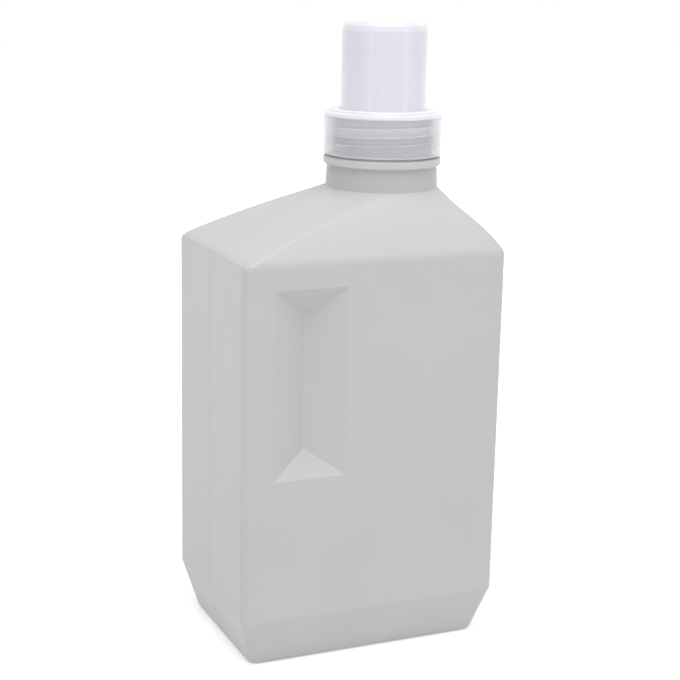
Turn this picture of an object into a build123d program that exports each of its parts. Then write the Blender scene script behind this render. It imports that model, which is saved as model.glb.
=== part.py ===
from build123d import *
from math import cos, radians, sin
import os

# A refillable laundry detergent dispenser: a blow-moulded bottle with an off-centre threaded neck,
# a pouring spout pushed into the neck, a sealing ring, and a screw cap that is the measuring cup.
# Frame: +Z up, the base stands on Z = 0, the long faces look along -Y and +Y, and the grip recesses
# lie on the -X side, away from the neck. The origin is the centre of the base.
# All sizes are in millimetres.

# Bottle body
body_width = 107.0
body_depth = 76.0
corner_radius = 3.6
foot_height = 19.5
foot_inset_x = 5.6
foot_inset_y = 6.2
heel_radius = 1.6
shoulder_height = 157.0
shoulder_reach = 1.7
shoulder_steps = 3
heel_steps = 3
wall = 1.3

# Roof of the body, which runs from the four shoulder edges to the round foot of the neck
roof_rise = 21.4
roof_crown = 1.2
hip_angles = (250.0, 303.5, 416.5, 470.0)
hip_half_angle = 4.5
hip_fullness = (0.0, 0.05, 0.05, 0.0)
inner_eaves_drop = 0.5
inner_roof_drop = 1.1
hollow_side_steps = 4

# Base push-up
push_up_depth = 2.0
push_up_margin = 7.0
push_up_slope = 4.0

# Grip recesses, one in each long face
grip_width = 29.4
grip_height = 72.5
grip_centre_x = -27.2
grip_centre_z = 111.0
grip_depth = 6.9
grip_end_run = 10.2
grip_valley_radius = 1.2
grip_end_radius = 2.0
grip_lip_radius = 0.8

# Neck, from the roof up
neck_x = 17.05
neck_foot_radius = 22.0
neck_head_radius = 21.45
throat_height = 8.7
throat_wall = 1.6
bead_height = 3.2
bead_radius = 22.9
bead_edge = 0.55
finish_radius = 19.7
finish_bore_radius = 18.1
finish_height = 14.5
ledge_rise = 0.2
ledge_width = 0.6
ledge_slope_height = 2.6

# Cap
skirt_radius = 23.0
skirt_wall = 1.5
skirt_gap = 0.9
cap_shoulder_wall = 1.2
cap_shoulder_radius = 2.2
cap_shoulder_steps = 2
cup_radius = 17.1
cup_top_radius = 16.3
cup_height = 34.4
cup_wall = 1.3
cup_edge_radius = 4.0
cup_edge_steps = 3
plug_clearance = 0.2
plug_length = 7.0

# Pouring spout
flange_height = 0.8
flange_setback = 0.3
collar_clearance = 0.05
collar_wall = 0.9
snap_height = 1.5
snap_overhang = 0.35
snap_clearance = 0.1
trough_depth = 11.5
trough_fall = 1.2
floor_wall = 1.1
tube_radius = 10.9
tube_wall = 1.1
tube_rise_tip = 24.0
tube_rise_middle = 16.4
tube_rise_back = 14.0
drain_width = 5.0
drain_height = 5.5
drain_step = 0.3

# Sealing ring
ring_height = 0.9
ring_overhang = 0.6
ring_clearance = 0.05

# Heights and radii that follow from the sizes above
roof_halfway = shoulder_height + roof_rise / 2 + roof_crown
roof_top = shoulder_height + roof_rise
bead_base = roof_top + throat_height
bead_top = bead_base + bead_height
finish_top = bead_top + finish_height
bore_ledge = bead_top + ledge_rise
flange_top = finish_top + flange_height
ring_top = flange_top + ring_height
cap_shoulder = ring_top + cap_shoulder_wall
cap_top = cap_shoulder + cup_height
skirt_bottom = bead_top + skirt_gap
skirt_inner_radius = skirt_radius - skirt_wall
collar_radius = finish_bore_radius - collar_clearance
plug_radius = collar_radius - collar_wall - plug_clearance
neck_axis = Axis((neck_x, 0, 0), (0, 0, 1))
neck_plane = Plane(origin=(neck_x, 0, 0), x_dir=(1, 0, 0), z_dir=(0, -1, 0))


def round_point(centre, radius, angle):
    return (centre[0] + radius * cos(radians(angle)), centre[1] + radius * sin(radians(angle)))


def mix(a, b, share):
    return (a[0] + (b[0] - a[0]) * share, a[1] + (b[1] - a[1]) * share)


def hip_share(number, share):
    """Share of one hip of the roof, which is held back towards its corner halfway up."""
    return share - 4 * share * (1 - share) * hip_fullness[number]


def level(height, half_width, half_depth, radius, neck_radius=0.0, share=0.0):
    """One level of the body: a rounded rectangle at share 0, the neck's circle at share 1."""
    signs = ((-1, -1), (1, -1), (1, 1), (-1, 1))
    corners = []
    for number, (sx, sy) in enumerate(signs):
        centre = (sx * (half_width - radius), sy * (half_depth - radius))
        spots = []
        for turn in (-1, 0, 1):
            square = round_point(centre, radius, 225 + 90 * number + 45 * turn)
            circle = round_point((neck_x, 0), neck_radius, hip_angles[number] + hip_half_angle * turn)
            spots.append(mix(square, circle, hip_share(number, share)))
        corners.append(spots)
    ring = []
    for number, spots in enumerate(corners):
        following = (number + 1) % 4
        ring.append(Edge.make_three_point_arc(*[(*spot, height) for spot in spots]))
        begin = (*spots[2], height)
        end = (*corners[following][0], height)
        if share == 0:
            ring.append(Edge.make_line(begin, end))
        else:
            side_angle = (hip_angles[number] + hip_angles[following]) / 2
            if following == 0:
                side_angle += 180
            edge_middle = (
                (signs[number][0] + signs[following][0]) / 2 * half_width,
                (signs[number][1] + signs[following][1]) / 2 * half_depth,
            )
            bow = mix(edge_middle, round_point((neck_x, 0), neck_radius, side_angle), share)
            ring.append(Edge.make_three_point_arc(begin, (*bow, height), end))
    return Face(Wire(ring))


def side_sizes(inset):
    """Half sizes of the body at the shoulder and at the base, drawn in by an inset."""
    half_width = body_width / 2 - inset
    half_depth = body_depth / 2 - inset
    base_share = 1 - inset / foot_height
    return half_width, half_depth, half_width - foot_inset_x * base_share, half_depth - foot_inset_y * base_share


def vessel_form():
    """The outside of the body below the neck."""
    half_width, half_depth, foot_x, foot_y = side_sizes(0)
    with BuildPart() as form:
        # Rounded heel, from the rim that the bottle stands on up to the slanted foot
        heel_levels = []
        for step in range(heel_steps + 1):
            share = step / heel_steps
            reach = (1 - share) ** 2 * heel_radius
            rise = share ** 2 * heel_radius
            out = rise / foot_height
            heel_levels.append(
                level(rise, foot_x + foot_inset_x * out - reach, foot_y + foot_inset_y * out - reach, corner_radius)
            )
        loft(heel_levels, ruled=True)
        crease = level(foot_height, half_width, half_depth, corner_radius)
        loft([heel_levels[-1], crease], ruled=True)
        extrude(crease, amount=shoulder_height - shoulder_reach - foot_height)

        # Rounded shoulder, from the upright faces over to the slope of the roof
        shoulder_share = shoulder_reach / roof_rise
        shoulder_rise = shoulder_reach * (1 + 2 * roof_crown / roof_rise)
        shoulder_levels = []
        for step in range(shoulder_steps + 1):
            share = step / shoulder_steps
            height = shoulder_height - (1 - share) ** 2 * shoulder_reach + share ** 2 * shoulder_rise
            shoulder_levels.append(
                level(height, half_width, half_depth, corner_radius, neck_foot_radius, share ** 2 * shoulder_share)
            )
        loft(shoulder_levels, ruled=True)
        halfway = level(roof_halfway, half_width, half_depth, corner_radius, neck_foot_radius, 0.5)
        ridge = level(roof_top, half_width, half_depth, corner_radius, neck_foot_radius, 1)
        loft([shoulder_levels[-1], halfway, ridge])
    return form.part


def hollow_ring(height, half_width, half_depth, neck_radius=0.0, share=0.0):
    """Corners of one level of the hollow: a bevelled rectangle at share 0, the neck's ring at share 1."""
    bevel = corner_radius - wall / 2
    square = []
    for number, (sx, sy) in enumerate(((-1, -1), (1, -1), (1, 1), (-1, 1))):
        upright = (sx * half_width, sy * (half_depth - bevel))
        level_one = (sx * (half_width - bevel), sy * half_depth)
        square += [level_one, upright] if number % 2 else [upright, level_one]
    spots = []
    for number in range(4):
        following = (number + 1) % 4
        start = hip_angles[number] - hip_half_angle
        leave = start + 2 * hip_half_angle
        arrive = hip_angles[following] - hip_half_angle + (360 if following == 0 else 0)
        at_hip = hip_share(number, share)
        spots.append(mix(square[2 * number], round_point((neck_x, 0), neck_radius, start), at_hip))
        spots.append(mix(square[2 * number + 1], round_point((neck_x, 0), neck_radius, leave), at_hip))
        for step in range(1, hollow_side_steps):
            part_way = step / hollow_side_steps
            along = mix(square[2 * number + 1], square[(2 * number + 2) % 8], part_way)
            around = round_point((neck_x, 0), neck_radius, leave + (arrive - leave) * part_way)
            spots.append(mix(along, around, share))
    return [(*spot, height) for spot in spots]


def flat_face(*corners):
    return Face(Wire.make_polygon(corners))


def faceted_form(rings):
    """A closed form of flat faces over a stack of rings with the same number of corners."""
    faces = [flat_face(*rings[0]), flat_face(*rings[-1])]
    for low, high in zip(rings, rings[1:]):
        for a, b, c, d in zip(low, low[1:] + low[:1], high[1:] + high[:1], high):
            faces += [flat_face(a, b, c), flat_face(a, c, d)]
    return Solid(Shell(faces))


def grip_form(side, growth):
    """The hollow of one grip: side -1 is the front, +1 the back. Growth adds the wall behind it."""
    face = side * body_depth / 2
    mouth = side * (body_depth / 2 + 1)
    valley = side * (body_depth / 2 - grip_depth - growth)
    side_slope = grip_width / 2 / grip_depth
    end_slope = grip_end_run / grip_depth
    mouth_half = (grip_depth + growth + 1) * side_slope
    valley_half = grip_height / 2 - grip_end_run
    mouth_reach = valley_half + (grip_depth + growth + 1) * end_slope
    with BuildPart() as form:
        with BuildSketch(Plane.XY.offset(grip_centre_z - mouth_reach)) as across:
            with BuildLine():
                Polyline(
                    (grip_centre_x - mouth_half, mouth),
                    (grip_centre_x + mouth_half, mouth),
                    (grip_centre_x, valley),
                    close=True,
                )
            make_face()
            fillet([v for v in across.vertices() if abs(v.Y - valley) < 0.01], grip_valley_radius)
        extrude(across.sketch, amount=2 * mouth_reach)
        with BuildSketch(Plane(origin=(grip_centre_x - mouth_half, 0, grip_centre_z), x_dir=(0, 1, 0),
                               z_dir=(1, 0, 0))) as along:
            with BuildLine():
                Polyline(
                    (mouth, -mouth_reach),
                    (mouth, mouth_reach),
                    (valley, valley_half),
                    (valley, -valley_half),
                    close=True,
                )
            make_face()
            fillet([v for v in along.vertices() if abs(v.Y - valley) < 0.01], grip_end_radius)
        extrude(along.sketch, amount=2 * mouth_half, mode=Mode.INTERSECT)
    return form.part


def slopes(points):
    """Slanted runs of a half profile, from each point to the next."""
    for start, end in zip(points, points[1:]):
        Bezier(start, end)


def turn_points(radius, height, turn_radius, steps):
    """Points of a rounded corner of a half profile, from its upright side over to its flat top."""
    centre = (radius - turn_radius, height - turn_radius)
    return [round_point(centre, turn_radius, 90 * step / steps) for step in range(steps + 1)]


def lip_edges(part):
    """The edges round both grip recesses, where they open into the long faces."""
    found = []
    for edge in part.edges():
        middle = edge.center()
        in_face = abs(abs(middle.Y) - body_depth / 2) < 0.01
        beside = abs(middle.X - grip_centre_x) < grip_width / 2 + 0.1
        if in_face and beside and abs(middle.Z - grip_centre_z) < grip_height / 2 + 0.1:
            found.append(edge)
    return found


# The hollow of the body, which keeps clear of the push-up and of the grips
push_x = body_width - 2 * (foot_inset_x + push_up_margin)
push_y = body_depth - 2 * (foot_inset_y + push_up_margin)
with BuildPart() as hollow:
    inner_width, inner_depth, inner_foot_x, inner_foot_y = side_sizes(wall)
    eaves_drop = inner_eaves_drop * wall
    inner_neck = neck_foot_radius - throat_wall
    add(faceted_form([
        hollow_ring(wall, inner_foot_x, inner_foot_y),
        hollow_ring(foot_height, inner_width, inner_depth),
        hollow_ring(shoulder_height - eaves_drop, inner_width, inner_depth),
        hollow_ring(roof_halfway - inner_roof_drop * wall, inner_width, inner_depth, inner_neck, 0.5),
        hollow_ring(roof_top - eaves_drop, inner_width, inner_depth, inner_neck, 1),
    ]))
    with BuildSketch(Plane.XY) as push_mouth_wall:
        Rectangle(push_x + 2 * wall, push_y + 2 * wall)
    extrude(push_mouth_wall.sketch, amount=push_up_depth + wall, mode=Mode.SUBTRACT)
    for side in (-1, 1):
        add(grip_form(side, wall * 1.15), mode=Mode.SUBTRACT)

# Bottle
with BuildPart() as bottle:
    add(vessel_form())
    for side in (-1, 1):
        add(grip_form(side, 0), mode=Mode.SUBTRACT)
    fillet(lip_edges(bottle), grip_lip_radius)

    # Outside of the neck: the throat, the bead and the core of the finish
    with BuildSketch(neck_plane) as neck_outside:
        with BuildLine():
            Line((0, roof_top), (neck_foot_radius, roof_top))
            slopes([(neck_foot_radius, roof_top), (neck_head_radius, bead_base)])
            Polyline(
                (neck_head_radius, bead_base),
                (bead_radius - bead_edge, bead_base),
                (bead_radius, bead_base + bead_edge),
                (bead_radius, bead_top - bead_edge),
                (bead_radius - bead_edge, bead_top),
                (finish_radius, bead_top),
                (finish_radius, finish_top),
                (0, finish_top),
                (0, roof_top),
            )
        make_face()
    revolve(neck_outside.sketch, axis=neck_axis)

    # Push-up of the base, which leaves the bottle standing on a rim
    with BuildSketch(Plane.XY) as push_mouth:
        Rectangle(push_x, push_y)
    with BuildSketch(Plane.XY.offset(push_up_depth)) as push_roof:
        Rectangle(push_x - 2 * push_up_slope, push_y - 2 * push_up_slope)
    loft([push_mouth.sketch, push_roof.sketch], ruled=True, mode=Mode.SUBTRACT)
    add(hollow.part, mode=Mode.SUBTRACT)

    # Bore of the neck, with the ledge that the pouring spout snaps under
    with BuildSketch(neck_plane) as bore:
        with BuildLine():
            throat_radius = neck_head_radius - throat_wall
            ledge_foot = (throat_radius, bore_ledge - ledge_slope_height)
            ledge_edge = (finish_bore_radius + ledge_width, bore_ledge)
            Polyline((0, roof_top - 2), (throat_radius, roof_top - 2), ledge_foot)
            slopes([ledge_foot, ledge_edge])
            Polyline(
                ledge_edge,
                (finish_bore_radius, bore_ledge),
                (finish_bore_radius, finish_top),
                (0, finish_top),
                (0, roof_top - 2),
            )
        make_face()
    revolve(bore.sketch, axis=neck_axis, mode=Mode.SUBTRACT)

# Trough floor of the pouring spout, a slanted plate that fills the collar
floor_high = flange_top - trough_depth
floor_low = floor_high - trough_fall
with BuildPart() as trough_floor:
    with BuildSketch(neck_plane) as floor_side:
        with BuildLine():
            Polyline(
                (-collar_radius, floor_low - floor_wall),
                (collar_radius, floor_high - floor_wall),
                (collar_radius, floor_high),
                (-collar_radius, floor_low),
                close=True,
            )
        make_face()
    extrude(floor_side.sketch, amount=collar_radius, both=True)
    with BuildSketch(Plane.XY.offset(floor_low - floor_wall)) as floor_outline:
        with Locations((neck_x, 0)):
            Circle(collar_radius - collar_wall / 2)
    extrude(floor_outline.sketch, amount=trough_fall + floor_wall, mode=Mode.INTERSECT)

# Pouring spout
with BuildPart() as pour_spout:
    # Collar that presses into the neck, with its flange on top and its snap rim near the foot
    tube_start = floor_low + trough_fall * 0.15
    tip = flange_top + tube_rise_tip
    snap_top = bore_ledge - snap_clearance
    snap_radius = finish_bore_radius + snap_overhang
    with BuildSketch(neck_plane) as collar_half:
        with BuildLine():
            Line((collar_radius - collar_wall, snap_top - snap_height), (collar_radius, snap_top - snap_height))
            slopes([(collar_radius, snap_top - snap_height), (snap_radius, snap_top)])
            Polyline(
                (snap_radius, snap_top),
                (collar_radius, snap_top),
                (collar_radius, finish_top),
                (finish_radius - flange_setback, finish_top),
                (finish_radius - flange_setback, flange_top),
                (collar_radius - collar_wall, flange_top),
                (collar_radius - collar_wall, snap_top - snap_height),
            )
        make_face()
    revolve(collar_half.sketch, axis=neck_axis)

    # Tube, and the trough floor that falls towards the grips
    with BuildSketch(Plane.XY.offset(tube_start)) as tube_section:
        with Locations((neck_x, 0)):
            Circle(tube_radius)
    extrude(tube_section.sketch, amount=tip - tube_start)
    add(trough_floor.part)
    with BuildSketch(Plane.XY.offset(floor_low - floor_wall)) as tube_bore:
        with Locations((neck_x, 0)):
            Circle(tube_radius - tube_wall)
    extrude(tube_bore.sketch, amount=tip - floor_low + floor_wall, mode=Mode.SUBTRACT)

    # Slanted lip, highest on the side away from the grips
    with BuildSketch(neck_plane) as lip_cut:
        with BuildLine():
            back = (-tube_radius, flange_top + tube_rise_back)
            ThreePointArc(back, (0, flange_top + tube_rise_middle), (tube_radius, tip))
            Polyline((tube_radius, tip), (tube_radius, tip + 1), (-tube_radius, tip + 1), back)
        make_face()
    extrude(lip_cut.sketch, amount=2 * tube_radius, both=True, mode=Mode.SUBTRACT)

    # Drain slot, through which the drips in the trough run back into the bottle
    with BuildSketch(Plane.XY.offset(floor_low + drain_step)) as drain:
        with Locations((neck_x - tube_radius, 0)):
            Rectangle(4 * tube_wall, drain_width)
    extrude(drain.sketch, amount=drain_height, mode=Mode.SUBTRACT)

# Sealing ring
with BuildPart() as sealing_ring:
    with BuildSketch(Plane.XY.offset(flange_top)) as ring_section:
        with Locations((neck_x, 0)):
            Circle(finish_radius + ring_overhang)
            Circle(plug_radius + ring_clearance, mode=Mode.SUBTRACT)
    extrude(ring_section.sketch, amount=ring_height)

# Cap
with BuildPart() as cap:
    with BuildSketch(neck_plane) as cap_outside:
        with BuildLine():
            shoulder_turn = turn_points(skirt_radius, cap_shoulder, cap_shoulder_radius, cap_shoulder_steps)
            edge_turn = turn_points(cup_top_radius, cap_top, cup_edge_radius, cup_edge_steps)
            Polyline((0, skirt_bottom), (skirt_radius, skirt_bottom), *shoulder_turn, (cup_radius, cap_shoulder))
            slopes([(cup_radius, cap_shoulder), edge_turn[0]])
            Polyline(*edge_turn, (0, cap_top), (0, skirt_bottom))
        make_face()
    revolve(cap_outside.sketch, axis=neck_axis)
    hollow_radius = cup_top_radius - cup_wall
    with BuildSketch(neck_plane) as cap_inside:
        with BuildLine():
            hollow_turn = turn_points(hollow_radius, cap_top - cup_wall, cup_edge_radius - cup_wall, 1)
            Polyline(
                (0, skirt_bottom),
                (skirt_inner_radius, skirt_bottom),
                (skirt_inner_radius, ring_top),
                (plug_radius, ring_top),
                (plug_radius, ring_top - plug_length),
                (hollow_radius, ring_top - plug_length),
                hollow_turn[0],
            )
            Polyline(*hollow_turn, (0, cap_top - cup_wall), (0, skirt_bottom))
        make_face()
    revolve(cap_inside.sketch, axis=neck_axis, mode=Mode.SUBTRACT)

bottle.part.label = "bottle"
pour_spout.part.label = "pour_spout"
sealing_ring.part.label = "sealing_ring"
cap.part.label = "cap"

os.makedirs("parts", exist_ok=True)
export_step(bottle.part, "parts/bottle.step")
export_step(pour_spout.part, "parts/pour_spout.step")
export_step(sealing_ring.part, "parts/sealing_ring.step")
export_step(cap.part, "parts/cap.step")
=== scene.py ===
import math

import bpy
from mathutils import Euler, Matrix, Vector


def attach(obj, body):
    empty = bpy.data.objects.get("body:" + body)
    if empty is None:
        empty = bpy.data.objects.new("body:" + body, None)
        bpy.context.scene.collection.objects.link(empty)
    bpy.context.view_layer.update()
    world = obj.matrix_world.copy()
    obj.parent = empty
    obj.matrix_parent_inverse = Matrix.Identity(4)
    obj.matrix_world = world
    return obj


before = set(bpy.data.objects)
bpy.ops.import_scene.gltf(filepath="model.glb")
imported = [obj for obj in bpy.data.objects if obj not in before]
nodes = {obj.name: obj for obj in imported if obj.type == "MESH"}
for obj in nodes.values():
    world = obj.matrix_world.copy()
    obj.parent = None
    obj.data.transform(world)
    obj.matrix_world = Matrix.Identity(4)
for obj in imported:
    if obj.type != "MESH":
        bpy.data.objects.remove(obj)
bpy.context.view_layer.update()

# Named lengths are in millimetres and named angles in degrees. The studio's floor and lamps are in metres.
MM = 0.001

# Sizes repeated from the part
NECK_X = 17.05
ROOF_TOP = 178.4
BEAD_BASE = 187.1
BEAD_TOP = 190.3
FINISH_RADIUS = 19.7
SKIRT_INNER_RADIUS = 21.5
SKIRT_BOTTOM = 191.2
CAP_SHOULDER = 207.7
CAP_TOP = 242.1
PUSH_UP_DEPTH = 2.0

# Screw threads, each with one right-handed start
THREAD_PITCH = 3.2
THREAD_DEPTH = 1.3
THREAD_ROOT = 0.3
THREAD_BASE_WIDTH = 2.2
THREAD_CREST_WIDTH = 0.7
THREAD_CREST_SHIFT = 0.55
THREAD_END_REACH = 1.5
THREAD_RUN_OUT = 2.2
THREAD_RUN_OUT_SHRINKS = (0.72, 0.6, 0.35)
THREAD_STEPS_PER_TURN = 80
NECK_THREAD_FOOT = 194.15
NECK_THREAD_TURNS = 2.5
NECK_THREAD_ANGLE = 142.0
CAP_THREAD_FOOT = 194.144
CAP_THREAD_TURNS = 1.5
CAP_THREAD_ANGLE = 203.2

# Parting line of the bottle, which runs in the XZ plane from the base to the bead
PARTING_HALF_WIDTH = 0.11
PARTING_HEIGHT = 0.1
PARTING_FOOT = 0.06
PARTING_TOP = BEAD_TOP - 0.1
MERGE_GAP = 0.001

# Weld in the push-up of the base
WELD_LENGTH = 62.0
WELD_WIDTH = 1.1
WELD_HEIGHT = 0.6
WELD_SINK = 0.15
WELD_TIP = 6.0
WELD_TIP_SHRINK = (1, 0.35, 0.4)
WELD_EDGE = 0.1

# Rounded rise on the cap's shoulder
ROLL_RADIUS = 18.9
ROLL_SECTION = 2.2
ROLL_FLATTENING = 0.42
ROLL_SINK = 0.1

# Gate mark on the cap's top
GATE_RADIUS = 1.3
GATE_HEIGHT = 0.16
GATE_SINK = 0.04
GATE_RIM = 0.45
GATE_SLOPE = 0.15
GATE_DEPTH = 0.1

# Painted light and shade on the neck, by height, that the bottle's colour is multiplied by: painted shade
# on the throat, and painted light on the bead and on the finish under the cap
NO_PAINTED_LIGHT = (1, 1, 1)
THROAT_PAINTED_SHADE = (0.93, 0.925, 0.91)
BEAD_PAINTED_LIGHT = (1.09, 1.07, 1.05)
FINISH_PAINTED_LIGHT = (1.4, 1.4, 1.39)
PAINTED_LIGHT_FROM = 170.0
PAINTED_LIGHT_TO = 200.0
NECK_PAINTED_LIGHT = (
    (ROOF_TOP + 0.6, THROAT_PAINTED_SHADE),
    (BEAD_BASE - 0.3, THROAT_PAINTED_SHADE),
    (BEAD_BASE + 0.1, BEAD_PAINTED_LIGHT),
    (BEAD_TOP - 0.1, BEAD_PAINTED_LIGHT),
    (BEAD_TOP + 0.6, FINISH_PAINTED_LIGHT),
)

# How milky one face of the cap is: looked at squarely, looked at on the slant, and at the skirt's rim
CAP_MILK_SKIRT = 0.22
CAP_MILK_CUP = 0.82
CAP_MILK_SLANTED = 0.75
THREAD_MILK_SLANTED = 0.1
CAP_MILK_RIM = 0.9

# Heights between which the clear skirt turns into the milky cup, and the rim into the clear skirt
CUP_ZONE = (CAP_SHOULDER - 2.2, CAP_SHOULDER - 1.4)
RIM_ZONE = (SKIRT_BOTTOM + 0.5, SKIRT_BOTTOM + 0.2)

# Camera, as matched to the photograph. Its turn is the tilt up from looking down, the roll and the heading.
CAMERA_PLACE = (-243.98, -554.69, 263.52)
CAMERA_TURN = (76.44622, -1.17242, -23.53593)
PHOTO_FOCAL_PIXELS = 1573.43
PHOTO_WIDTH_PIXELS = 680
SENSOR_WIDTH = 36.0

# Spot that the lamps are aimed at, in metres
LAMP_AIM = Vector((0, 0, 0.12))


# Small helpers for the modelling

def rest_hands():
    """Leaves edit mode and deselects everything."""
    if bpy.context.object and bpy.context.object.mode != "OBJECT":
        bpy.ops.object.mode_set(mode="OBJECT")
    bpy.ops.object.select_all(action="DESELECT")


def take_up(piece):
    rest_hands()
    piece.select_set(True)
    bpy.context.view_layer.objects.active = piece


def set_down(piece):
    """Puts a piece's place and turn into its mesh, so that its object sits at the origin."""
    take_up(piece)
    bpy.ops.object.transform_apply(location=True, rotation=True, scale=True)


def pick_faces(piece, wanted):
    """Selects the faces of a piece in edit mode for which wanted(face) holds."""
    bpy.ops.object.mode_set(mode="EDIT")
    bpy.ops.mesh.select_mode(type="FACE")
    bpy.ops.mesh.select_all(action="DESELECT")
    bpy.ops.object.mode_set(mode="OBJECT")
    for face in piece.data.polygons:
        face.select = wanted(face)
    bpy.ops.object.mode_set(mode="EDIT")


def apply_all(piece):
    take_up(piece)
    for modifier in list(piece.modifiers):
        bpy.ops.object.modifier_apply(modifier=modifier.name)


def dress(piece, material):
    piece.data.materials.clear()
    piece.data.materials.append(material)


# Screw threads

def thread_section(wall_radius, outward):
    """The closed outline of one thread, standing in the XZ plane on the wall that carries it."""
    rest_hands()
    bpy.ops.mesh.primitive_plane_add(size=1.0, rotation=(math.pi / 2, 0, 0))
    section = bpy.context.object
    height = (THREAD_DEPTH + THREAD_ROOT) * MM
    section.scale = (height, THREAD_BASE_WIDTH * MM, 1)
    bpy.ops.object.transform_apply(location=False, rotation=False, scale=True)
    bpy.ops.object.transform_apply(location=False, rotation=True, scale=False)
    middle = wall_radius + outward * (THREAD_DEPTH - THREAD_ROOT) / 2
    section.location = (middle * MM, 0, 0)
    bpy.ops.object.transform_apply(location=True, rotation=False, scale=False)
    crest = wall_radius + outward * THREAD_DEPTH
    bpy.ops.object.mode_set(mode="EDIT")
    bpy.ops.mesh.select_mode(type="VERT")
    bpy.ops.mesh.select_all(action="SELECT")
    bpy.ops.mesh.delete(type="ONLY_FACE")
    bpy.ops.object.mode_set(mode="OBJECT")
    for corner in section.data.vertices:
        corner.select = abs(corner.co.x / MM - crest) < 0.05
    bpy.ops.object.mode_set(mode="EDIT")
    narrowing = THREAD_CREST_WIDTH / THREAD_BASE_WIDTH
    bpy.ops.transform.resize(value=(1, 1, narrowing), center_override=(crest * MM, 0, 0))
    bpy.ops.transform.translate(value=(0, 0, outward * THREAD_CREST_SHIFT * MM))
    bpy.ops.object.mode_set(mode="OBJECT")
    return section


def run_out(thread, wall_radius, angle, height, way):
    """Fades one end of a thread into its wall, in three short steps."""
    tangent = Vector((-math.sin(angle), math.cos(angle), 0)) * way
    place = Vector((wall_radius * math.cos(angle), wall_radius * math.sin(angle), height)) * MM

    def at_end(face):
        return (face.center - place).length < THREAD_END_REACH * MM and face.normal.dot(tangent) > 0.8

    pick_faces(thread, at_end)
    for shrink in THREAD_RUN_OUT_SHRINKS:
        step = tangent * (THREAD_RUN_OUT / len(THREAD_RUN_OUT_SHRINKS) * MM)
        bpy.ops.mesh.extrude_region_move(TRANSFORM_OT_translate={"value": step})
        place = place + step
        bpy.ops.transform.resize(value=(shrink, shrink, shrink), center_override=place)
    bpy.ops.object.mode_set(mode="OBJECT")


def screw_thread(name, wall_radius, outward, foot, turns, start_angle):
    """One thread, wound up from its foot. Outward is 1 on the neck and -1 inside the cap."""
    thread = thread_section(wall_radius, outward)
    thread.name = name
    take_up(thread)
    wind = thread.modifiers.new("wind", "SCREW")
    wind.axis = "Z"
    wind.angle = math.tau * turns
    wind.screw_offset = THREAD_PITCH * turns * MM
    wind.iterations = 1
    wind.steps = int(THREAD_STEPS_PER_TURN * turns)
    wind.render_steps = wind.steps
    bpy.ops.object.modifier_apply(modifier=wind.name)
    bpy.ops.object.mode_set(mode="EDIT")
    bpy.ops.mesh.select_mode(type="EDGE")
    bpy.ops.mesh.select_all(action="SELECT")
    bpy.ops.mesh.fill_holes(sides=4)
    bpy.ops.mesh.select_all(action="SELECT")
    bpy.ops.mesh.normals_make_consistent(inside=False)
    bpy.ops.object.mode_set(mode="OBJECT")
    run_out(thread, wall_radius, 0.0, 0.0, -1)
    run_out(thread, wall_radius, math.tau * turns, THREAD_PITCH * turns, 1)
    thread.rotation_euler = (0, 0, math.radians(start_angle))
    thread.location = (NECK_X * MM, 0, foot * MM)
    set_down(thread)
    bpy.ops.object.shade_smooth_by_angle(angle=math.radians(40))
    return thread


# Parting line of the bottle mould, and the weld that its jaws leave under the base

def parting_line(bottle):
    """A thin ridge, thickened from the strip of the bottle's own skin that the mould halves meet on."""
    line = bottle.copy()
    line.data = bottle.data.copy()
    line.name = "parting_line"
    bpy.context.scene.collection.objects.link(line)
    for key in list(line.keys()):
        del line[key]
    line.parent = None
    take_up(line)
    bpy.ops.object.mode_set(mode="EDIT")
    bpy.ops.mesh.select_mode(type="VERT")
    bpy.ops.mesh.select_all(action="SELECT")
    bpy.ops.mesh.remove_doubles(threshold=MERGE_GAP * MM)
    half = PARTING_HALF_WIDTH * MM
    cuts = (
        ((0, half, 0), (0, 1, 0)),
        ((0, -half, 0), (0, -1, 0)),
        ((0, 0, PARTING_TOP * MM), (0, 0, 1)),
        ((0, 0, PARTING_FOOT * MM), (0, 0, -1)),
    )
    for spot, away in cuts:
        bpy.ops.mesh.select_all(action="SELECT")
        bpy.ops.mesh.bisect(plane_co=spot, plane_no=away, clear_outer=True, threshold=MERGE_GAP * MM)
    bpy.ops.object.mode_set(mode="OBJECT")

    # The skin of the hollow goes: it faces a spot in the middle of the bottle
    heart = Vector((10, 0, 90)) * MM
    pick_faces(line, lambda face: face.normal.dot(face.center - heart) < 0)
    bpy.ops.mesh.delete(type="FACE")
    bpy.ops.object.mode_set(mode="OBJECT")
    ridge = line.modifiers.new("ridge", "SOLIDIFY")
    ridge.thickness = PARTING_HEIGHT * MM
    ridge.offset = 0.0
    apply_all(line)
    bpy.ops.object.shade_smooth_by_angle(angle=math.radians(35))
    return line


def pinch_off():
    """The weld under the base, a low ridge with thinned ends in the push-up."""
    rest_hands()
    bpy.ops.mesh.primitive_cube_add(size=1.0, location=(0, 0, (PUSH_UP_DEPTH - WELD_SINK) * MM))
    weld = bpy.context.object
    weld.name = "pinch_off"
    weld.scale = (WELD_LENGTH * MM, WELD_WIDTH * MM, WELD_HEIGHT * MM)
    set_down(weld)
    for way in (-1, 1):
        pick_faces(weld, lambda face: face.normal.x * way > 0.9)
        bpy.ops.mesh.extrude_region_move(TRANSFORM_OT_translate={"value": (way * WELD_TIP * MM, 0, 0)})
        tip = (way * (WELD_LENGTH / 2 + WELD_TIP) * MM, 0, PUSH_UP_DEPTH * MM)
        bpy.ops.transform.resize(value=WELD_TIP_SHRINK, center_override=tip)
        bpy.ops.object.mode_set(mode="OBJECT")
    soften = weld.modifiers.new("soften", "BEVEL")
    soften.width = WELD_EDGE * MM
    soften.segments = 2
    apply_all(weld)
    bpy.ops.object.shade_smooth_by_angle(angle=math.radians(50))
    return weld


# Rounded rise of the cap's shoulder, between the skirt's edge and the foot of the cup

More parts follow.
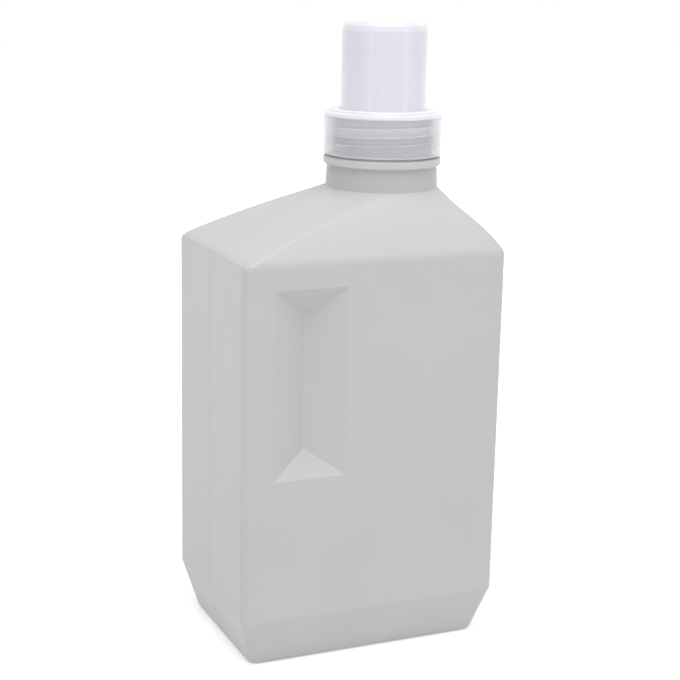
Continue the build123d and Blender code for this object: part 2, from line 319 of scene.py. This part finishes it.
def shoulder_roll():
    rest_hands()
    bpy.ops.mesh.primitive_torus_add(
        major_segments=128,
        minor_segments=24,
        major_radius=ROLL_RADIUS * MM,
        minor_radius=ROLL_SECTION * MM,
        location=(NECK_X * MM, 0, (CAP_SHOULDER - ROLL_SINK) * MM),
    )
    roll = bpy.context.object
    roll.name = "cap_shoulder_roll"
    roll.scale = (1, 1, ROLL_FLATTENING)
    set_down(roll)
    bpy.ops.object.shade_smooth()
    return roll


# Gate mark in the middle of the cap's top, where the plastic went into the mould

def gate_mark():
    rest_hands()
    bpy.ops.mesh.primitive_cylinder_add(
        vertices=32,
        radius=GATE_RADIUS * MM,
        depth=GATE_HEIGHT * MM,
        location=(NECK_X * MM, 0, (CAP_TOP - GATE_SINK) * MM),
    )
    gate = bpy.context.object
    gate.name = "cap_gate_mark"
    set_down(gate)
    pick_faces(gate, lambda face: face.normal.z > 0.9)
    bpy.ops.mesh.inset(thickness=GATE_RIM * MM)
    bpy.ops.mesh.inset(thickness=GATE_SLOPE * MM, depth=-GATE_DEPTH * MM)
    bpy.ops.object.mode_set(mode="OBJECT")
    bpy.ops.object.shade_smooth_by_angle(angle=math.radians(40))
    return gate


# Small helpers for the finishes, each of which returns what the next step reads

def new_finish(name):
    """A material's own parts: itself, its node tree, its shader and its Object coordinates."""
    material = bpy.data.materials.new(name)
    material.use_nodes = True
    tree = material.node_tree
    place = tree.nodes.new("ShaderNodeTexCoord")
    return material, tree, tree.nodes["Principled BSDF"], place.outputs["Object"]


def height_on(tree, place):
    """The height above the base."""
    height = tree.nodes.new("ShaderNodeSeparateXYZ")
    tree.links.new(place, height.inputs["Vector"])
    return height.outputs["Z"]


def clouds(tree, place, scale, detail=2.0):
    """Soft noise over the piece."""
    noise = tree.nodes.new("ShaderNodeTexNoise")
    noise.inputs["Scale"].default_value = scale
    noise.inputs["Detail"].default_value = detail
    tree.links.new(place, noise.inputs["Vector"])
    return noise.outputs["Fac"]


def between(tree, value, low, high, start=0.0, end=1.0):
    """Carries a value that runs from start to end over to the run from low to high."""
    carry = tree.nodes.new("ShaderNodeMapRange")
    carry.inputs["From Min"].default_value = start
    carry.inputs["From Max"].default_value = end
    carry.inputs["To Min"].default_value = low
    carry.inputs["To Max"].default_value = high
    tree.links.new(value, carry.inputs["Value"])
    return carry.outputs["Result"]


def tint_between(tree, value, low, high, stops=(0.0, 1.0)):
    """A colour that runs from low to high as the value passes from the first stop to the last."""
    ramp = tree.nodes.new("ShaderNodeValToRGB")
    for element, position, colour in zip(ramp.color_ramp.elements, stops, (low, high)):
        element.position = position
        element.color = (*colour, 1)
    tree.links.new(value, ramp.inputs["Fac"])
    return ramp


def relief(tree, value, strength, distance, under=None):
    """Bump by a value, as deep as the distance in millimetres, on top of the normal under it."""
    bump = tree.nodes.new("ShaderNodeBump")
    bump.inputs["Strength"].default_value = strength
    bump.inputs["Distance"].default_value = distance * MM
    tree.links.new(value, bump.inputs["Height"])
    if under is not None:
        tree.links.new(under, bump.inputs["Normal"])
    return bump.outputs["Normal"]


# Blow-moulded polyethylene of the bottle

def painted_light_stop(level):
    """Where a height lies between the ends of the neck's painted light and shade."""
    return (level - PAINTED_LIGHT_FROM) / (PAINTED_LIGHT_TO - PAINTED_LIGHT_FROM)


def neck_painted_light(tree, height):
    """The painted light and shade that the bottle's colour is multiplied by, from the roof up to the finish
    under the cap.
    """
    along = between(tree, height, 0.0, 1.0, PAINTED_LIGHT_FROM * MM, PAINTED_LIGHT_TO * MM)
    ramp = tint_between(tree, along, NO_PAINTED_LIGHT, FINISH_PAINTED_LIGHT, (painted_light_stop(ROOF_TOP - 1.0), 1.0))
    for level, colour in NECK_PAINTED_LIGHT:
        stop = ramp.color_ramp.elements.new(painted_light_stop(level))
        stop.color = (*colour, 1)
    return ramp.outputs["Color"]


def blown_polyethylene():
    material, tree, shader, place = new_finish("blown_polyethylene")
    shader.inputs["IOR"].default_value = 1.5
    cloud = clouds(tree, place, scale=26.0, detail=3.0)
    tint = tint_between(tree, cloud, (0.565, 0.563, 0.570), (0.59, 0.585, 0.59), (0.3, 0.75))
    # The tint is multiplied by the neck's painted light and shade: darker throat, lighter bead and finish
    tint_with_painted_light = tree.nodes.new("ShaderNodeMix")
    tint_with_painted_light.data_type = "RGBA"
    tint_with_painted_light.blend_type = "MULTIPLY"
    tint_with_painted_light.inputs["Factor"].default_value = 1.0
    tree.links.new(tint.outputs["Color"], tint_with_painted_light.inputs["A"])
    tree.links.new(neck_painted_light(tree, height_on(tree, place)), tint_with_painted_light.inputs["B"])
    tree.links.new(tint_with_painted_light.outputs["Result"], shader.inputs["Base Color"])

    # Fine grain of the mould, and slow waves where the wall sinks as it cools
    grain = clouds(tree, place, scale=900.0)
    tree.links.new(between(tree, grain, 0.38, 0.48), shader.inputs["Roughness"])
    peel = relief(tree, grain, strength=0.12, distance=0.2)
    sink = clouds(tree, place, scale=38.0, detail=1.0)
    waves = relief(tree, sink, strength=0.06, distance=4.0, under=peel)
    tree.links.new(waves, shader.inputs["Normal"])
    return material


# Natural polypropylene of the cap, milky and see-through where something lies close behind it

def natural_polypropylene(name, slanted_milk):
    material, tree, shader, place = new_finish(name)
    shader.inputs["IOR"].default_value = 1.49
    shader.inputs["Specular IOR Level"].default_value = 0.8
    height = height_on(tree, place)

    # 0 on the skirt and 1 on the cup
    cup = between(tree, height, 0.0, 1.0, CUP_ZONE[0] * MM, CUP_ZONE[1] * MM)
    tint = tree.nodes.new("ShaderNodeMix")
    tint.data_type = "RGBA"
    tint.inputs["A"].default_value = (0.86, 0.86, 0.89, 1)
    tint.inputs["B"].default_value = (0.93, 0.93, 0.995, 1)
    tree.links.new(cup, tint.inputs["Factor"])
    tree.links.new(tint.outputs["Result"], shader.inputs["Base Color"])

    # A slanted look passes through more plastic, and so does a look into the skirt's rim
    slant = tree.nodes.new("ShaderNodeLayerWeight")
    slant.inputs["Blend"].default_value = 0.5
    wall = between(tree, slant.outputs["Facing"], 0.0, slanted_milk, 0.41, 0.72)
    rim = between(tree, height, 0.0, CAP_MILK_RIM, RIM_ZONE[0] * MM, RIM_ZONE[1] * MM)
    thick = tree.nodes.new("ShaderNodeMath")
    thick.operation = "MAXIMUM"
    tree.links.new(wall, thick.inputs[0])
    tree.links.new(rim, thick.inputs[1])
    milk = tree.nodes.new("ShaderNodeMix")
    milk.inputs["B"].default_value = 1.0
    tree.links.new(thick.outputs["Value"], milk.inputs["Factor"])
    tree.links.new(between(tree, cup, CAP_MILK_SKIRT, CAP_MILK_CUP), milk.inputs["A"])
    tree.links.new(milk.outputs["Result"], shader.inputs["Alpha"])

    haze = clouds(tree, place, scale=120.0)
    tree.links.new(between(tree, haze, 0.12, 0.17), shader.inputs["Roughness"])
    edge = tree.nodes.new("ShaderNodeBevel")
    edge.samples = 6
    edge.inputs["Radius"].default_value = 0.9 * MM
    flow = relief(tree, haze, strength=0.08, distance=1.5, under=edge.outputs["Normal"])
    tree.links.new(flow, shader.inputs["Normal"])
    return material


# Polyethylene of the pouring spout and of the neck thread, which the mould's insert leaves glossier

def polished_polyethylene(name, cloud_scale, low_tint, high_tint, low_gloss, high_gloss):
    material, tree, shader, place = new_finish(name)
    shader.inputs["IOR"].default_value = 1.5
    cloud = clouds(tree, place, cloud_scale)
    tint = tint_between(tree, cloud, low_tint, high_tint)
    tree.links.new(tint.outputs["Color"], shader.inputs["Base Color"])
    tree.links.new(between(tree, cloud, low_gloss, high_gloss), shader.inputs["Roughness"])
    return material


def spout_polyethylene():
    return polished_polyethylene(
        "spout_polyethylene", 90.0, (0.84, 0.845, 0.865), (0.88, 0.885, 0.895), 0.3, 0.4
    )


# The neck thread's near-white tint is painted light, far lighter than the bottle's plastic, for bright
# thread lines under the cap's skirt
def painted_light_thread_polyethylene():
    return polished_polyethylene(
        "painted_light_thread_polyethylene", 70.0, (0.94, 0.94, 0.95), (0.97, 0.97, 0.98), 0.2, 0.28
    )


# Foamed liner of the sealing ring

def liner_foam():
    material, tree, shader, place = new_finish("liner_foam")
    shader.inputs["Roughness"].default_value = 0.7
    cells = tree.nodes.new("ShaderNodeTexVoronoi")
    cells.inputs["Scale"].default_value = 2500.0
    tree.links.new(place, cells.inputs["Vector"])
    tint = tint_between(tree, cells.outputs["Distance"], (0.82, 0.82, 0.82), (0.88, 0.88, 0.88))
    tree.links.new(tint.outputs["Color"], shader.inputs["Base Color"])
    foam = relief(tree, cells.outputs["Distance"], strength=0.2, distance=0.1)
    tree.links.new(foam, shader.inputs["Normal"])
    return material


# The pieces, dressed and set on the body that carries them

bottle_plastic = blown_polyethylene()
cap_plastic = natural_polypropylene("natural_polypropylene", CAP_MILK_SLANTED)
cap_thread_plastic = natural_polypropylene("natural_polypropylene_thread", THREAD_MILK_SLANTED)
dress(nodes["bottle"], bottle_plastic)
dress(nodes["cap"], cap_plastic)
dress(nodes["pour_spout"], spout_polyethylene())
dress(nodes["sealing_ring"], liner_foam())

neck_thread = screw_thread(
    "neck_thread", FINISH_RADIUS, 1, NECK_THREAD_FOOT, NECK_THREAD_TURNS, NECK_THREAD_ANGLE
)
cap_thread = screw_thread(
    "cap_thread", SKIRT_INNER_RADIUS, -1, CAP_THREAD_FOOT, CAP_THREAD_TURNS, CAP_THREAD_ANGLE
)
bottle_details = (
    (neck_thread, painted_light_thread_polyethylene()),
    (parting_line(nodes["bottle"]), bottle_plastic),
    (pinch_off(), bottle_plastic),
)
cap_details = (
    (cap_thread, cap_thread_plastic),
    (gate_mark(), cap_plastic),
    (shoulder_roll(), cap_plastic),
)
for piece, plastic in bottle_details:
    dress(piece, plastic)
    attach(piece, "vessel")
for piece, plastic in cap_details:
    dress(piece, plastic)
    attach(piece, "closure")


# Studio: a pale floor that shows white to the camera and keeps the object's shadow

def seen_ray(tree):
    """1 for rays that show the backdrop: straight to the camera, mirrored, or through the cap."""
    path = tree.nodes.new("ShaderNodeLightPath")
    first = tree.nodes.new("ShaderNodeMath")
    first.operation = "MAXIMUM"
    tree.links.new(path.outputs["Is Camera Ray"], first.inputs[0])
    tree.links.new(path.outputs["Is Transmission Ray"], first.inputs[1])
    second = tree.nodes.new("ShaderNodeMath")
    second.operation = "MAXIMUM"
    tree.links.new(first.outputs[0], second.inputs[0])
    tree.links.new(path.outputs["Is Glossy Ray"], second.inputs[1])
    return second.outputs[0]


def studio_floor():
    rest_hands()
    bpy.ops.mesh.primitive_plane_add(size=8.0, location=(0, 0, -0.2 * MM))
    floor = bpy.context.object
    floor.name = "studio_floor"
    material, tree, shader, place = new_finish("floor_paper")
    shader.inputs["Base Color"].default_value = (0.9, 0.9, 0.9, 1)
    shader.inputs["Roughness"].default_value = 0.9
    shader.inputs["Specular IOR Level"].default_value = 0.1
    distance = tree.nodes.new("ShaderNodeVectorMath")
    distance.operation = "LENGTH"
    tree.links.new(place, distance.inputs[0])
    glow = tree.nodes.new("ShaderNodeEmission")
    tree.links.new(between(tree, distance.outputs["Value"], 0.4, 1.0, 0.1, 0.9), glow.inputs["Strength"])
    hidden = tree.nodes.new("ShaderNodeEmission")
    hidden.inputs["Strength"].default_value = 0.0
    shade = tree.nodes.new("ShaderNodeMixShader")
    tree.links.new(seen_ray(tree), shade.inputs["Fac"])
    tree.links.new(hidden.outputs[0], shade.inputs[1])
    tree.links.new(glow.outputs[0], shade.inputs[2])
    both = tree.nodes.new("ShaderNodeAddShader")
    tree.links.new(shader.outputs[0], both.inputs[0])
    tree.links.new(shade.outputs[0], both.inputs[1])
    tree.links.new(both.outputs[0], tree.nodes["Material Output"].inputs["Surface"])
    dress(floor, material)


def studio_world(ambient):
    world = bpy.data.worlds.new("studio")
    bpy.context.scene.world = world
    world.use_nodes = True
    tree = world.node_tree
    tree.nodes.clear()
    output = tree.nodes.new("ShaderNodeOutputWorld")
    lit = tree.nodes.new("ShaderNodeBackground")
    lit.inputs["Color"].default_value = (0.985, 0.97, 1.0, 1)
    lit.inputs["Strength"].default_value = ambient
    white = tree.nodes.new("ShaderNodeBackground")
    white.inputs["Color"].default_value = (1, 1, 1, 1)
    white.inputs["Strength"].default_value = 1.0
    choice = tree.nodes.new("ShaderNodeMixShader")
    tree.links.new(seen_ray(tree), choice.inputs["Fac"])
    tree.links.new(lit.outputs[0], choice.inputs[1])
    tree.links.new(white.outputs[0], choice.inputs[2])
    tree.links.new(choice.outputs[0], output.inputs["Surface"])


def softbox(name, azimuth, elevation, distance, width, height, share):
    """An area lamp, in metres, whose share is what it adds to a white surface that faces it."""
    lamp = bpy.data.lights.new(name, "AREA")
    lamp.shape = "RECTANGLE"
    lamp.size = width
    lamp.size_y = height
    lamp.energy = share * math.pi ** 2 * distance ** 2
    holder = bpy.data.objects.new(name, lamp)
    bpy.context.collection.objects.link(holder)
    a, e = math.radians(azimuth), math.radians(elevation)
    way = Vector((math.cos(a) * math.cos(e), math.sin(a) * math.cos(e), math.sin(e)))
    holder.location = LAMP_AIM + way * distance
    holder.rotation_euler = way.to_track_quat("Z", "Y").to_euler()


def photo_camera():
    lens = bpy.data.cameras.new("photo_camera")
    lens.sensor_fit = "HORIZONTAL"
    lens.sensor_width = SENSOR_WIDTH
    lens.lens = PHOTO_FOCAL_PIXELS / PHOTO_WIDTH_PIXELS * SENSOR_WIDTH
    lens.clip_start = 0.01
    lens.clip_end = 50.0
    camera = bpy.data.objects.new("photo_camera", lens)
    bpy.context.collection.objects.link(camera)
    turn = Euler([math.radians(angle) for angle in CAMERA_TURN])
    camera.matrix_world = Matrix.LocRotScale(Vector(CAMERA_PLACE) * MM, turn, None)
    bpy.context.scene.camera = camera


studio_floor()
studio_world(0.565)
softbox("softbox_top", -110, 72, 1.1, 0.9, 0.9, 0.60)
softbox("softbox_left", -150, 12, 0.9, 0.12, 0.9, 0.042)
softbox("softbox_right", -54, 12, 0.9, 0.16, 0.9, 0.05)
softbox("softbox_top_right", -40, 50, 1.1, 0.7, 0.7, 0.045)
photo_camera()
bpy.context.scene.view_settings.view_transform = "Standard"
